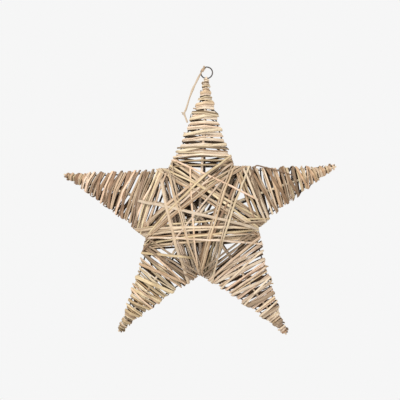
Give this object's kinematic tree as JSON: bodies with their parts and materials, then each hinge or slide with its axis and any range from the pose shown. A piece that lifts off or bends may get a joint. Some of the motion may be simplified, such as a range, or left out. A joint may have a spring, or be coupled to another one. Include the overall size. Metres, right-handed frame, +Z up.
{
  "type": "wicker star",
  "caption": "Star of split willow strips wound round a thin wire frame, raised in the middle on both faces, hung from a small wire ring.",
  "frame": {"origin": "inside top of the hanging ring's hole, where the ring bears on its hook", "axes": "+Z up to the hook, the front of the star faces -Y, +X to the right seen from the front"},
  "size_m": [0.4005, 0.0913, 0.3937],
  "materials": {
    "willow_light": "matt split willow with fine lengthwise fibres",
    "willow_tan": "matt split willow with fine lengthwise fibres",
    "willow_rose": "matt split willow with fine lengthwise fibres",
    "willow_olive": "matt split willow with fine lengthwise fibres",
    "willow_brown": "matt split willow with fine lengthwise fibres",
    "dark_wire": "satin black"
  },
  "bodies": {
    "root": {"body_strip_01": "willow_tan", "body_strip_02": "willow_olive", "body_strip_03": "willow_light", "body_strip_04": "willow_rose", "body_strip_05": "willow_brown", "body_strip_06": "willow_tan", "body_strip_07": "willow_olive", "body_strip_08": "willow_light", "body_strip_09": "willow_rose", "body_strip_10": "willow_brown", "body_strip_11": "willow_tan", "body_strip_12": "willow_olive", "body_strip_13": "willow_light", "body_strip_14": "willow_rose", "body_strip_15": "willow_brown", "body_strip_16": "willow_tan", "body_strip_17": "willow_olive", "body_strip_18": "willow_light", "body_strip_19": "willow_rose", "crossing_left": "willow_rose", "crossing_lower_left": "willow_tan", "crossing_lower_right": "willow_light", "crossing_right": "willow_brown", "crossing_top": "willow_olive", "edge_wire_left_clockwise": "dark_wire", "edge_wire_left_counter": "dark_wire", "edge_wire_lower_left_clockwise": "dark_wire", "edge_wire_lower_left_counter": "dark_wire", "edge_wire_lower_right_clockwise": "dark_wire", "edge_wire_lower_right_counter": "dark_wire", "edge_wire_right_clockwise": "dark_wire", "edge_wire_right_counter": "dark_wire", "edge_wire_top_clockwise": "dark_wire", "edge_wire_top_counter": "dark_wire", "hanging_ring": "dark_wire", "loose_strand": "willow_light", "ridge_strip_left": "willow_tan", "ridge_strip_lower_left": "willow_light", "ridge_strip_lower_right": "willow_brown", "ridge_strip_right": "willow_olive", "ridge_strip_top": "willow_rose", "ridge_wire_left_back": "dark_wire", "ridge_wire_left_front": "dark_wire", "ridge_wire_lower_left_back": "dark_wire", "ridge_wire_lower_left_front": "dark_wire", "ridge_wire_lower_right_back": "dark_wire", "ridge_wire_lower_right_front": "dark_wire", "ridge_wire_right_back": "dark_wire", "ridge_wire_right_front": "dark_wire", "ridge_wire_top_back": "dark_wire", "ridge_wire_top_front": "dark_wire", "winding_left": "willow_brown", "winding_lower_left": "willow_olive", "winding_lower_right": "willow_rose", "winding_right": "willow_tan", "winding_top": "willow_light"}
  },
  "joints": []
}
